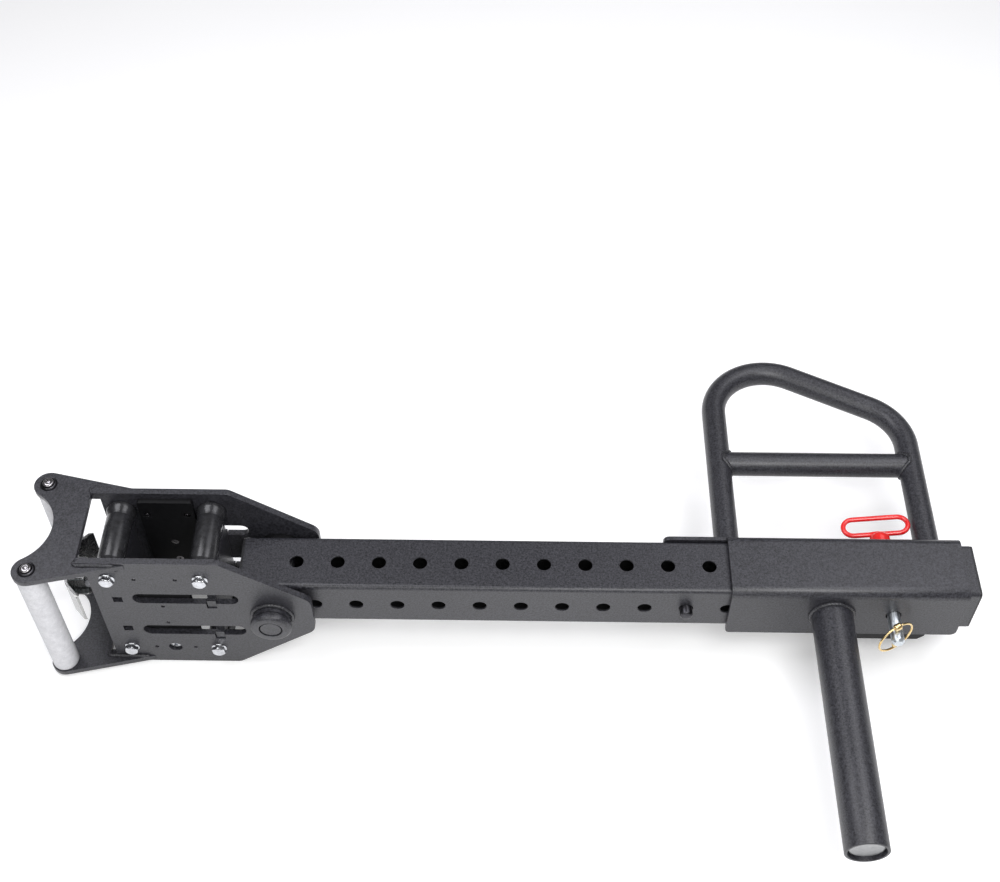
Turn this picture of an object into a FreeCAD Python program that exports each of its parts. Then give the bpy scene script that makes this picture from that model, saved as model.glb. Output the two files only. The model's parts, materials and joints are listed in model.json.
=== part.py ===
import FreeCAD, Part
import math
import os

# One arm of a lever-arm pair for a weight rack, in millimetres.
# Origin: centre of the upright channel in the roller trolley, level with the arm's axis.
# +X runs along the arm to the handle end, +Y to the D-handle side, +Z up the rack upright.

V = FreeCAD.Vector

# ---- driving dimensions ----------------------------------------------------------------------
pitch = 50.8            # hole spacing along the arm, 2 in
tube = 75.0             # arm tube, square
tube_wall = 3.0
tube_corner = 5.5
tube_x0, tube_x1 = 94.0, 993.0
plug_rim = 2.8
hole_r = 8.75           # clearance holes for 5/8 in pins
pin_r = 7.95            # 5/8 in pins
top_hole_x = 160.4      # first hole of the top and bottom rows
side_hole_x = 183.3     # first hole of the side rows
top_holes = 17
side_holes = 16
pivot_x = 132.5

plate_in = 47.5         # inner face of each trolley side plate, from the middle
plate_t = 8.0
plate_out = plate_in + plate_t
plate_h = 109.5         # half height of the side plates
roller_x, roller_z = 55.5, 77.0
roller_r, flare_r = 16.2, 18.4
bolt_r = 5.0
liner_t = 7.0
liner_in = plate_in - liner_t
slot_z, slot_h = 35.2, 20.0
slot_x0, slot_x1 = -33.0, 95.5
cross_t = 11.0          # cross plates between the side plates
lock_x = -57.0          # left face of the lock plate
stop_x = 55.7           # left face of the hooked stop plate
tab_z = 32.5

ear_z, ear_t = 98.0, 8.0
grip_x, grip_y, grip_r = -142.5, 63.0, 16.3
lobe_r = 18.0

shaft_r = 12.7
collar_r, collar_y = 25.4, 76.0

barrel_x0 = -108.0      # rear face of the hexagon barrel

brk_x0, brk_x1 = 692.8, 980.0
brk_out, brk_t = 44.0, 5.0
brk_in = brk_out - brk_t
brk_top, brk_bottom = 45.5, -43.0
brk_bend = 12.0
ext_x0, ext_top = 614.4, 38.0
tab_bottom = -68.0
fixed_pin_x = side_hole_x + 9 * pitch
hitch_x = side_hole_x + 14 * pitch

handle_r, handle_wall = 15.9, 2.5
leg_x1 = 952.6
leg_x0 = leg_x1 - 5 * pitch
handle_bend = 75.0
handle_slope = math.radians(27.0)
left_bend_y = 276.3
bar_y = 190.0

post_x, post_r, post_wall = 819.0, 25.4, 3.5
post_end = -350.0

post_root = 0.8         # the post steps in by this much under its weld

hitch_tip = -84.2
loop_tilt = 8.0         # degrees the pull loop leans
lynch_lean = 5.5        # degrees the lynch pin leans
lynch_y = -68.2
lynch_r = 2.95
lynch_end = -44.5       # free end of the lynch pin, measured from its ring hinge
ring_up = 12.5          # ring hinge above the hitch pin's axis
ring_turn = 28.5        # degrees the ring is turned round the lynch pin
ring_r, ring_wire = 24.0, 1.4
ring_gap = 23.1         # ring centre below its hinge

os.makedirs("parts", exist_ok=True)


# ---- helpers ---------------------------------------------------------------------------------
def save(name, shapes):
    solids = []
    for shape in shapes:
        solids.extend(shape.Solids)
    shape = solids[0] if len(solids) == 1 else Part.makeCompound(solids)
    shape.exportStep("parts/" + name + ".step")


def box(x0, x1, y0, y1, z0, z1):
    return Part.makeBox(x1 - x0, y1 - y0, z1 - z0, V(x0, y0, z0))


def rod_x(x0, x1, r, y=0.0, z=0.0):
    return Part.makeCylinder(r, x1 - x0, V(x0, y, z), V(1, 0, 0))


def rod_y(y0, y1, r, x=0.0, z=0.0):
    return Part.makeCylinder(r, y1 - y0, V(x, y0, z), V(0, 1, 0))


def rod_z(z0, z1, r, x=0.0, y=0.0):
    return Part.makeCylinder(r, z1 - z0, V(x, y, z0), V(0, 0, 1))


def outline(points, radii):
    """Closed wire through the points, each corner rounded by its radius."""
    edges = []
    ends = []
    count = len(points)
    for i in range(count):
        here = points[i]
        to_prev = (points[i - 1] - here).normalize()
        to_next = (points[(i + 1) % count] - here).normalize()
        r = radii[i]
        if r == 0:
            ends.append((here, None, here))
            continue
        half = to_prev.getAngle(to_next) / 2
        reach = r / math.tan(half)
        middle = (to_prev + to_next).normalize()
        mid = here + middle * (r / math.sin(half) - r)
        ends.append((here + to_prev * reach, mid, here + to_next * reach))
    for i in range(count):
        a, mid, b = ends[i]
        if mid is not None:
            edges.append(Part.Arc(a, mid, b).toShape())
        nxt = ends[(i + 1) % count][0]
        if b.distanceToPoint(nxt) > 1e-6:
            edges.append(Part.makeLine(b, nxt))
    return Part.Wire(edges)


def plate_xz(points, radii, y0, y1):
    wire = outline([V(x, y0, z) for x, z in points], radii)
    return Part.Face(wire).extrude(V(0, y1 - y0, 0))


def plate_xy(points, radii, z0, z1):
    wire = outline([V(x, y, z0) for x, y in points], radii)
    return Part.Face(wire).extrude(V(0, 0, z1 - z0))


def square_yz(x0, x1, half, r):
    pts = [V(x0, -half, -half), V(x0, half, -half), V(x0, half, half), V(x0, -half, half)]
    return Part.Face(outline(pts, [r] * 4)).extrude(V(x1 - x0, 0, 0))


def bead_ring(centre, axis, r, size, inward=0.0):
    """Fillet weld round a bar: a ring of triangular section standing on the face at centre."""
    base = Part.makeCone(r + size, r, size, centre, axis)
    return base.cut(Part.makeCylinder(r - inward, size, centre, axis))


def hexagon(axis, centre, flats, length):
    r = flats / math.sqrt(3)
    pts = [V(r * math.cos(math.radians(60 * i)), r * math.sin(math.radians(60 * i)), 0) for i in range(6)]
    prism = Part.Face(Part.makePolygon(pts + [pts[0]])).extrude(V(0, 0, length))
    prism.Placement = FreeCAD.Placement(centre, FreeCAD.Rotation(V(0, 0, 1), axis))
    return prism


def mirror_y(shape):
    return shape.mirror(V(0, 0, 0), V(0, 1, 0))


def mirror_z(shape):
    return shape.mirror(V(0, 0, 0), V(0, 0, 1))


# ---- trolley: side plates --------------------------------------------------------------------
notch_depth = 10.0
notch_x0, notch_x1 = stop_x - 0.9, stop_x + cross_t + 0.4
lock_tabs = (tab_z, -tab_z)
hook_z = (slot_z - slot_h / 2, -slot_z - slot_h / 2)   # lower edges of the two slots
liner_mid = 1.0
liner_screws = []
for side in (1, -1):
    liner_screws += [(liner_mid - 24.6, side * 76.0), (liner_mid + 24.6, side * 76.0)]
    liner_screws.append((liner_mid, side * 18.2))
recess_z = -76.3


def side_plate():
    pts = [(-88, plate_h), (79, plate_h), (182.6, 32.3), (182.6, -32.3), (79, -plate_h), (-88, -plate_h),
           (-88, -ear_z + 0.5), (-78, -ear_z + 0.5), (-78, ear_z - 0.5), (-88, ear_z - 0.5)]
    radii = [2, 12, 20, 20, 12, 2, 0, 0, 0, 0]
    plate = plate_xz(pts, radii, -plate_out, -plate_in)
    y0, y1 = -plate_out - 1, -plate_in + 1
    cuts = []
    for z in (slot_z, -slot_z):
        r = slot_h / 2
        cuts.append(box(slot_x0 + r, slot_x1 - r, y0, y1, z - r, z + r))
        cuts.append(rod_y(y0, y1, r, slot_x0 + r, z))
        cuts.append(rod_y(y0, y1, r, slot_x1 - r, z))
        cuts.append(box(notch_x0, notch_x1, y0, y1, z - r - notch_depth, z))
    for z in lock_tabs:
        cuts.append(box(lock_x - 0.4, lock_x + cross_t + 0.4, y0, y1, z - 5.4, z + 5.4))
    for x in (-roller_x, roller_x):
        for z in (-roller_z, roller_z):
            cuts.append(rod_y(y0, y1, bolt_r, x, z))
    for x, z in liner_screws:
        cuts.append(rod_y(y0, y1, 2.6, x, z))
    cuts.append(rod_y(y0, y1, 8.5, 0, recess_z))
    cuts.append(rod_y(y0, y1, collar_r - 2.4, pivot_x, 0))
    return plate.cut(cuts)


near_plate = side_plate()
save("side_plate_near", [near_plate])
save("side_plate_far", [mirror_y(near_plate)])


# ---- trolley: ear plates that carry the grips ------------------------------------------------
def ear_plate():
    cut_edge = -125.0
    # radius that makes the hollow edge run smoothly into the lobe round each grip screw
    span = cut_edge - grip_x
    cut_r = (grip_y ** 2 + span ** 2 - lobe_r ** 2) / (2 * (lobe_r + span))
    cut_cx = cut_edge - cut_r
    to_lobe = V(grip_x - cut_cx, grip_y, 0).normalize()
    touch = V(cut_cx, 0, 0) + to_lobe * cut_r
    prong = V(-30.0, plate_out + 0.6, 0)
    lobe = V(grip_x, grip_y, 0)
    lean = math.atan2(lobe.y - prong.y, prong.x - lobe.x)
    reach = math.asin(lobe_r / lobe.distanceToPoint(prong))
    outer = lobe + V(math.sin(lean + reach), math.cos(lean + reach), 0) * lobe_r
    left = lobe + V(-math.cos(math.radians(20)), math.sin(math.radians(20)), 0) * lobe_r
    inner = [V(-30.0, plate_out, 0), V(-88.0, plate_out, 0), V(-88.0, plate_out - 14.0, 0)]

    def low(p):
        return V(p.x, -p.y, p.z)

    edges = [Part.Arc(low(touch), V(cut_edge, 0, 0), touch).toShape(),
             Part.Arc(touch, left, outer).toShape(),
             Part.makeLine(outer, prong)]
    path = [prong] + inner + [low(p) for p in reversed(inner)] + [low(prong)]
    edges += [Part.makeLine(path[i], path[i + 1]) for i in range(len(path) - 1)]
    edges += [Part.makeLine(low(prong), low(outer)),
              Part.Arc(low(outer), low(left), low(touch)).toShape()]
    face = Part.Face(Part.Wire(edges))
    face.translate(V(0, 0, ear_z))
    plate = face.extrude(V(0, 0, ear_t))
    for y in (-grip_y, grip_y):
        plate = plate.cut(rod_z(ear_z - 1, ear_z + ear_t + 1, 4.2, grip_x, y))
    return plate


top_ear = ear_plate()
save("ear_plate_top", [top_ear])
save("ear_plate_bottom", [mirror_z(top_ear)])


def bead_x(x0, x1, section):
    pts = [V(x0, y, z) for y, z in section]
    return Part.Face(Part.makePolygon(pts + [pts[0]])).extrude(V(x1 - x0, 0, 0))


ear_top = ear_z + ear_t
corner_bead = bead_x(-84, -36, [(-plate_out, ear_z), (-plate_out - 4, ear_z), (-plate_out, ear_z - 4)])
seam_bead = bead_x(-86, -40, [(-plate_out, ear_top), (-plate_out - 3, ear_top), (-plate_out, ear_top + 3)])
beads = [corner_bead, seam_bead]
beads += [mirror_y(bead) for bead in beads]
save("ear_welds", beads + [mirror_z(bead) for bead in beads])


# ---- trolley: cross plates -------------------------------------------------------------------
def cross_plate(x0, z0, z1, tabs, tab_half, recess):
    """Plate across the trolley; its tabs stop short of the side plates' outer faces by the recess."""
    plate = box(x0, x0 + cross_t, -plate_in, plate_in, z0, z1)
    reach = plate_out - recess
    for z in tabs:
        tab = box(x0, x0 + cross_t, -reach, reach, z - tab_half, z + tab_half)
        plate = plate.fuse(tab)
    return plate.removeSplitter()


lock_plate = cross_plate(lock_x, -57, 57, lock_tabs, 5.0, 5.0)
save("lock_plate", [lock_plate.cut(rod_x(lock_x - 1, lock_x + cross_t + 1, pin_r + 0.05))])
hook_half = 6.6
hook_mid = [z - notch_depth + 0.6 + hook_half for z in hook_z]
save("stop_plate", [cross_plate(stop_x, -57, 50, hook_mid, hook_half, 1.5)])


# ---- trolley: liners and their screws --------------------------------------------------------
def liner():
    x0, x1 = liner_mid - 33.5, liner_mid + 33.5
    pts = [(x0, -100), (x1, -100), (x1, 100), (x0, 100)]
    sheet = plate_xz(pts, [3] * 4, -plate_in, -liner_in)
    for x, z in liner_screws:
        sheet = sheet.cut(rod_y(-plate_in - 1, -liner_in + 1, 2.6, x, z))
        sheet = sheet.cut(rod_y(-liner_in - 3.4, -liner_in + 1, 5.0, x, z))
    return sheet


def liner_screw(x, z):
    head = rod_y(-liner_in - 3.4, -liner_in - 0.4, 4.8, x, z)
    shank = rod_y(-plate_out + 1.5, -liner_in - 3.4, 2.6, x, z)
    socket = hexagon(V(0, 1, 0), V(x, -liner_in - 2.2, z), 3.0, 3.0)
    return head.fuse(shank).cut(socket).removeSplitter()


save("liner_near", [liner()])
save("liner_far", [mirror_y(liner())])
screws = [liner_screw(x, z) for x, z in liner_screws]
save("liner_screws", screws + [mirror_y(s) for s in screws])


def recess_screw():
    head = rod_y(-plate_in - 4.5, -plate_in, 6.5, 0, recess_z)
    return head.cut(hexagon(V(0, 1, 0), V(0, -plate_in - 5, recess_z), 5.0, 3.2))


save("recess_screws", [recess_screw(), mirror_y(recess_screw())])

# ---- trolley: rollers on their bolts ---------------------------------------------------------
corners = {"tl": (-roller_x, roller_z), "tr": (roller_x, roller_z),
           "bl": (-roller_x, -roller_z), "br": (roller_x, -roller_z)}


def roller(x, z):
    half = plate_in - 0.5
    flare = 12.0
    body = rod_y(-half, half, roller_r, x, z)
    for side in (1, -1):
        cone = Part.makeCone(roller_r, flare_r, flare, V(x, side * (half - flare - 2), z), V(0, side, 0))
        rim = Part.makeCylinder(flare_r, 2, V(x, side * (half - 2), z), V(0, side, 0))
        body = body.fuse([cone, rim])
    return body.removeSplitter().cut(rod_y(-half - 1, half + 1, bolt_r + 0.05, x, z))


def roller_bolt(x, z):
    flange = rod_y(-plate_out - 1.6, -plate_out, 9.6, x, z)
    head = hexagon(V(0, 1, 0), V(x, -plate_out - 7.6, z), 15.8, 6.0)
    dome = Part.makeCone(7.4, 9.2, 1.6, V(x, -plate_out - 7.6, z), V(0, 1, 0))
    tail = Part.makeCylinder(9.2, 6.0, V(x, -plate_out - 6.0, z), V(0, 1, 0))
    head = head.common(dome.fuse(tail))
    shank = rod_y(-plate_out - 1.6, plate_out + 9.0, bolt_r, x, z)
    return head.fuse([flange, shank]).removeSplitter()


def roller_nut(x, z):
    nut = hexagon(V(0, 1, 0), V(x, plate_out + 1.6, z), 15.8, 6.4)
    washer = rod_y(plate_out, plate_out + 1.6, 9.6, x, z)
    return nut.fuse(washer).removeSplitter().cut(rod_y(plate_out - 1, plate_out + 9, bolt_r, x, z))


for tag, (x, z) in corners.items():
    save("roller_" + tag, [roller(x, z)])
save("roller_bolts", [roller_bolt(x, z) for x, z in corners.values()])
save("roller_nuts", [roller_nut(x, z) for x, z in corners.values()])


# ---- trolley: pivot shaft, collars and their welds -------------------------------------------
def pivot_collar():
    sleeve = rod_y(-collar_y + 9, -plate_in, collar_r - 2.4, pivot_x)
    cap = rod_y(-collar_y + 3, -collar_y + 9, collar_r, pivot_x)
    chamfer = Part.makeCone(collar_r - 3, collar_r, 3, V(pivot_x, -collar_y, 0), V(0, 1, 0))
    body = sleeve.fuse([cap, chamfer]).removeSplitter()
    return body.cut(rod_y(-collar_y - 1, -plate_in + 1, shaft_r, pivot_x))


save("pivot_collars", [pivot_collar(), mirror_y(pivot_collar())])
save("pivot_shaft", [rod_y(-collar_y + 0.8, collar_y - 0.8, shaft_r, pivot_x)])
collar_bead = bead_ring(V(pivot_x, -plate_out, 0), V(0, -1, 0), collar_r - 2.4, 4.5)
save("collar_welds", [collar_bead, mirror_y(collar_bead)])


# ---- trolley: grips with their screws and cup washers ----------------------------------------
def grip(y):
    bar = rod_z(-ear_z, ear_z, grip_r, grip_x, y)
    return bar.cut(rod_z(-ear_z - 1, ear_z + 1, 4.05, grip_x, y))


def grip_washer(y):
    z = ear_z + ear_t
    cup = Part.makeCone(10.6, 8.4, 3.2, V(grip_x, y, z), V(0, 0, 1))
    return cup.cut([rod_z(z - 1, z + 1.2, 4.05, grip_x, y), rod_z(z + 1.2, z + 4, 7.4, grip_x, y)])


def grip_screw(y):
    z = ear_z + ear_t + 1.2
    ball_r = 8.2
    dome = Part.makeSphere(ball_r, V(grip_x, y, z + 4.4 - ball_r))
    dome = dome.common(rod_z(z, z + 6, 7.2, grip_x, y))
    shank = rod_z(ear_z - 22, z, 4.05, grip_x, y)
    socket = hexagon(V(0, 0, 1), V(grip_x, y, z + 1.6), 5.0, 4.0)
    return dome.fuse(shank).removeSplitter().cut(socket)


save("grip_near", [grip(-grip_y)])
save("grip_far", [grip(grip_y)])
for name, make in (("grip_washers", grip_washer), ("grip_screws", grip_screw)):
    pieces = [make(-grip_y), make(grip_y)]
    save(name, pieces + [mirror_z(p) for p in pieces])

# ---- lock: hexagon barrel, spring, sliding pin, squeeze trigger ------------------------------
barrel_r = 9.6
barrel = hexagon(V(1, 0, 0), V(barrel_x0, 0, 0), 24.0, lock_x - barrel_x0)
taper = Part.makeCone(11.4, 13.9, 3.0, V(barrel_x0, 0, 0), V(1, 0, 0))
taper = taper.fuse(rod_x(barrel_x0 + 3, lock_x, 13.9))
barrel = barrel.common(taper).removeSplitter()
barrel = barrel.cut([rod_x(barrel_x0 - 1, lock_x, 6.05), rod_x(barrel_x0 + 5, lock_x + 1, barrel_r)])
save("lock_barrel", [barrel])

stem_x0 = -131.0
pin_collar_x0, pin_collar_x1 = -63.5, -57.6
lock_nose_x, lock_tip = -45.5, -19.0
nose_r = 7.8
pin = rod_x(stem_x0, pin_collar_x0, 6.0)
pin = pin.fuse([rod_x(pin_collar_x0, pin_collar_x1, 9.2), rod_x(pin_collar_x1, lock_nose_x, pin_r),
                rod_x(lock_nose_x, lock_tip - 2, nose_r)])
pin = pin.fuse(Part.makeCone(nose_r, nose_r - 2, 2, V(lock_tip - 2, 0, 0), V(1, 0, 0)))
save("lock_pin", [pin.removeSplitter()])

spring_x0 = barrel_x0 + 5 + 0.8
spring_len = pin_collar_x0 - spring_x0 - 0.8
spring_wire, spring_r = 0.9, 7.9
coils = 7
coil_step = (spring_len - 2 * spring_wire) / (coils - 1)
coil_x0 = spring_x0 + spring_wire
save("lock_spring", [Part.makeTorus(spring_r, spring_wire, V(coil_x0 + i * coil_step, 0, 0), V(1, 0, 0))
                     for i in range(coils)])

trigger_h = 27.0
trigger_t = 3.0
web_x = -124.0


def trigger_plate():
    """Bent strip seen from above: a flat web with both wings swept towards the side plates."""
    t = trigger_t
    pts = [(web_x, -29), (-104.5, -49.5), (-102.3, -47.4), (web_x + t, -27.8),
           (web_x + t, 27.8), (-102.3, 47.4), (-104.5, 49.5), (web_x, 29)]
    radii = [16, 0, 0, 13, 13, 0, 0, 16]
    strip = plate_xy(pts, radii, -trigger_h, trigger_h)
    side = [V(web_x - 1, y, z) for y, z in ((-51, -28), (51, -28), (51, 28), (-51, 28))]
    trim = Part.Face(outline(side, [10] * 4)).extrude(V(30, 0, 0))
    return strip.common(trim).cut(rod_x(web_x - 1, web_x + t + 1, 6.0))


save("trigger", [trigger_plate()])


def trigger_cheeks():
    """Stiffening channel behind the web, one cheek above and one below the stem."""
    cheeks = []
    for side in (1, -1):
        root = web_x + trigger_t
        pts = [(root, -16), (-105, -16), (-98, -7), (-98, 7), (-105, 16), (root, 16)]
        z = side * 16.0
        cheeks.append(plate_xy(pts, [0, 5, 5, 5, 5, 0], min(z, z + side * 2.5), max(z, z + side * 2.5)))
    return cheeks


save("trigger_cheeks", trigger_cheeks())
nut = hexagon(V(1, 0, 0), V(web_x - 6.2, 0, 0), 17.0, 6.2).cut(rod_x(stem_x0 - 1, web_x + 1, 6.0))
save("trigger_nut", [nut])

# ---- arm: tube with its staggered hole rows --------------------------------------------------
half = tube / 2
arm_tube = square_yz(tube_x0, tube_x1, half, tube_corner)
arm_tube = arm_tube.cut(square_yz(tube_x0 - 1, tube_x1 + 1, half - tube_wall, tube_corner - tube_wall))
holes = [rod_z(-half - 1, half + 1, hole_r, top_hole_x + i * pitch) for i in range(top_holes)]
holes += [rod_y(-half - 1, half + 1, hole_r, side_hole_x + i * pitch) for i in range(side_holes)]
holes.append(rod_y(-half - 1, half + 1, 19.0, pivot_x))
save("arm_tube", [arm_tube.cut(holes)])


def end_plug(face_x, into):
    """Moulded plug: a rim outside the tube and a hollow spigot inside it."""
    rim = square_yz(min(face_x, face_x - into * plug_rim), max(face_x, face_x - into * plug_rim),
                    half - 0.2, tube_corner)
    deep = face_x + into * 8.0
    inner = half - tube_wall - 0.1
    spigot = square_yz(min(face_x, deep), max(face_x, deep), inner, 2.4)
    hollow = square_yz(min(face_x, deep + into), max(face_x, deep + into), inner - 3.0, 1.0)
    return rim.fuse(spigot.cut(hollow)).removeSplitter()


save("plug_left", [end_plug(tube_x0, 1)])
save("plug_right", [end_plug(tube_x1, -1)])

boss = rod_y(-half, half, 19.0, pivot_x).cut(rod_y(-half - 1, half + 1, shaft_r + 0.05, pivot_x))
save("pivot_boss", [boss])
washer = rod_y(-plate_in + 0.4, -half, 30.0, pivot_x)
washer = washer.cut(rod_y(-plate_in, -half + 1, shaft_r + 0.05, pivot_x))
save("pivot_washers", [washer, mirror_y(washer)])


# ---- arm: bracket that pins onto the tube ----------------------------------------------------
def bracket():
    """Bent plate: web on top, near flange, and a far flange that runs on past the fixed pin."""
    y_out, y_in = brk_out, brk_in
    profile = [V(brk_x0, -y_out, brk_bottom), V(brk_x0, -y_out, brk_top), V(brk_x0, y_out, brk_top),
               V(brk_x0, y_out, brk_bottom), V(brk_x0, y_in, brk_bottom),
               V(brk_x0, y_in, brk_top - brk_t), V(brk_x0, -y_in, brk_top - brk_t),
               V(brk_x0, -y_in, brk_bottom)]
    inner = brk_bend - brk_t
    shell = Part.Face(outline(profile, [0, brk_bend, brk_bend, 0, 0, inner, inner, 0]))
    shell = shell.extrude(V(brk_x1 - brk_x0, 0, 0))
    flange = [(brk_x0, brk_bottom), (brk_x1, brk_bottom), (brk_x1, brk_top + 1), (brk_x0, brk_top + 1)]
    trim = plate_xz(flange, [6, 8, 0, 0], -y_out - 1, y_out + 1)
    shell = shell.common(trim)
    extension = plate_xz([(ext_x0, brk_bottom), (brk_x0 + 30, brk_bottom), (brk_x0 + 30, ext_top - 20),
                          (brk_x0 + 2, ext_top), (ext_x0, ext_top)], [8, 0, 0, 0, 8], y_in, y_out)
    tab = plate_xz([(841, brk_bottom + 4), (841, brk_bottom), (850, tab_bottom), (945, tab_bottom),
                    (949, brk_bottom), (949, brk_bottom + 4)], [0, 0, 6, 6, 0, 0], y_in, y_out)
    shell = shell.fuse([extension, tab]).removeSplitter()
    hitch_hole = rod_y(-y_out - 1, y_out + 1, 9.5, hitch_x)
    return shell.cut([hitch_hole, rod_y(y_in - 1, y_out + 1, pin_r, fixed_pin_x)])


save("bracket", [bracket()])

top_liner = box(brk_x0 + 3, brk_x1 - 3, -28, 28, half, brk_top - brk_t)
near_liner = plate_xz([(brk_x0 + 3, -40), (850, -40), (850, -54), (858, -62), (937, -62), (945, -54),
                       (945, -40), (brk_x1 - 4, -40), (brk_x1 - 4, 30), (brk_x0 + 3, 30)],
                      [2] * 10, -brk_in, -half)
far_liner = plate_xz([(brk_x0 + 3, -40), (brk_x1 - 4, -40), (brk_x1 - 4, 30), (brk_x0 + 3, 30)],
                     [2] * 4, half, brk_in)
pin_gap = rod_y(-60, 60, 9.5, hitch_x)
save("bracket_liners", [top_liner, near_liner.cut(pin_gap), far_liner.cut(pin_gap)])

fixed_pin = rod_y(-48.0, brk_out, pin_r, fixed_pin_x)
fixed_pin = fixed_pin.fuse(Part.makeCone(pin_r, pin_r - 1.5, 1.5, V(fixed_pin_x, -48.0, 0), V(0, -1, 0)))
save("fixed_pin", [fixed_pin.removeSplitter()])

# ---- arm: D-handle ---------------------------------------------------------------------------
slope_n = V(math.sin(handle_slope), math.cos(handle_slope), 0)
left_c = V(leg_x0 + handle_bend, left_bend_y, 0)
line_c = left_c.dot(slope_n)
right_cx = leg_x1 - handle_bend
right_c = V(right_cx, (line_c - right_cx * slope_n.x) / slope_n.y, 0)


def bend_point(centre, angle):
    return centre + V(math.cos(angle), math.sin(angle), 0) * handle_bend


rise = math.pi / 2 - handle_slope
left_mid = bend_point(left_c, (math.pi + rise) / 2)
right_mid = bend_point(right_c, rise / 2)
path = Part.Wire([
    Part.makeLine(V(leg_x0, brk_out, 0), V(leg_x0, left_c.y, 0)),
    Part.Arc(V(leg_x0, left_c.y, 0), left_mid, bend_point(left_c, rise)).toShape(),
    Part.makeLine(bend_point(left_c, rise), bend_point(right_c, rise)),
    Part.Arc(bend_point(right_c, rise), right_mid, V(leg_x1, right_c.y, 0)).toShape(),
    Part.makeLine(V(leg_x1, right_c.y, 0), V(leg_x1, brk_out, 0))])


def handle_pipe(r):
    ring = Part.Wire(Part.makeCircle(r, V(leg_x0, brk_out, 0), V(0, 1, 0)))
    return path.makePipeShell([ring], True, False)


outer_bow = handle_pipe(handle_r)
save("handle_bow", [outer_bow.cut(handle_pipe(handle_r - handle_wall))])
legs = [rod_y(brk_out, right_c.y, handle_r + 0.02, x) for x in (leg_x0, leg_x1)]
bar = rod_x(leg_x0 + 3, leg_x1 - 3, handle_r, bar_y)
bar = bar.cut(rod_x(leg_x0, leg_x1, handle_r - handle_wall, bar_y))
save("handle_crossbar", [bar.cut(legs)])

leg_beads = [bead_ring(V(x, brk_out, 0), V(0, 1, 0), handle_r, 4.0) for x in (leg_x0, leg_x1)]
bar_beads = []
for x, side in ((leg_x0, 1), (leg_x1, -1)):
    start = V(x + side * 8.0, bar_y, 0)
    bead = Part.makeCone(handle_r + 4.0, handle_r, 11.0, start, V(side, 0, 0))
    bead = bead.cut([Part.makeCylinder(handle_r, 11.0, start, V(side, 0, 0))] + legs)
    bar_beads.append(bead)
save("handle_welds", leg_beads + bar_beads)

# ---- arm: weight post ------------------------------------------------------------------------
post_bead = 4.5
post = rod_y(post_end, -brk_out - post_bead, post_r, post_x)
post = post.fuse(rod_y(-brk_out - post_bead, -brk_out, post_r - post_root, post_x)).removeSplitter()
save("weight_post", [post.cut(rod_y(post_end - 1, -brk_out + 1, post_r - post_wall, post_x))])
save("post_weld", [bead_ring(V(post_x, -brk_out, 0), V(0, -1, 0), post_r, post_bead, post_root)])
cap_r = post_r - post_wall
cap = rod_y(post_end + 4.5, post_end + 15, cap_r, post_x)
cap = cap.cut(rod_y(post_end + 8, post_end + 16, cap_r - 2.5, post_x))
save("post_cap", [cap])

# ---- hitch pin, its pull handle and the lynch pin --------------------------------------------
shank_end = 70.0
shank = rod_y(hitch_tip + 3, shank_end, pin_r, hitch_x)
shank = shank.fuse(Part.makeCone(pin_r, pin_r - 2.6, 3, V(hitch_x, hitch_tip + 3, 0), V(0, -1, 0)))
lean = FreeCAD.Rotation(V(0, -1, 0), lynch_lean)
ring_hinge = V(hitch_x, lynch_y, 0) + lean.multVec(V(0, 0, ring_up))
lynch_place = FreeCAD.Placement(ring_hinge, lean * FreeCAD.Rotation(V(0, 0, 1), ring_turn))
lynch_bore = rod_z(lynch_end, 0, lynch_r + 0.05)
lynch_bore.Placement = lynch_place
save("hitch_shank", [shank.removeSplitter().cut(lynch_bore)])

loop_wire = 3.4
loop_half_x, loop_half_y = 40.6, 12.6
loop_x, loop_y = hitch_x - 2.6, 90.6
collar_end = 76.0


def pull_loop():
    r = loop_half_y
    x = loop_half_x - r
    a, b = V(x, r, 0), V(-x, r, 0)
    c, d = V(-x, -r, 0), V(x, -r, 0)
    wire = Part.Wire([Part.makeLine(a, b), Part.Arc(b, V(-x - r, 0, 0), c).toShape(),
                      Part.makeLine(c, d), Part.Arc(d, V(x + r, 0, 0), a).toShape()])
    ring = Part.Wire(Part.makeCircle(loop_wire, a, V(1, 0, 0)))
    loop = wire.makePipeShell([ring], True, False)
    loop.Placement = FreeCAD.Placement(V(loop_x, loop_y, 0), FreeCAD.Rotation(V(0, -1, 0), loop_tilt))
    return loop


pull = rod_y(brk_out + 0.5, collar_end - 6, 13.4, hitch_x)
pull = pull.fuse(Part.makeCone(13.4, 8.5, 8, V(hitch_x, collar_end - 6, 0), V(0, 1, 0)))
pull = pull.removeSplitter().fuse(pull_loop())
save("pull_handle", [pull.cut(rod_y(brk_out, shank_end, pin_r, hitch_x))])

head_x, head_z = 4.6, 4.5
lynch = rod_z(lynch_end, -head_z, lynch_r)
lynch = lynch.fuse(box(-head_x, head_x, -4.5, 4.5, -head_z, head_z))
lynch = lynch.cut(rod_x(-head_x - 1, head_x + 1, ring_wire + 0.05)).removeSplitter()
lynch.Placement = lynch_place
save("lynch_pin", [lynch])

end_x = math.sqrt(ring_r ** 2 - ring_gap ** 2)


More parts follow.
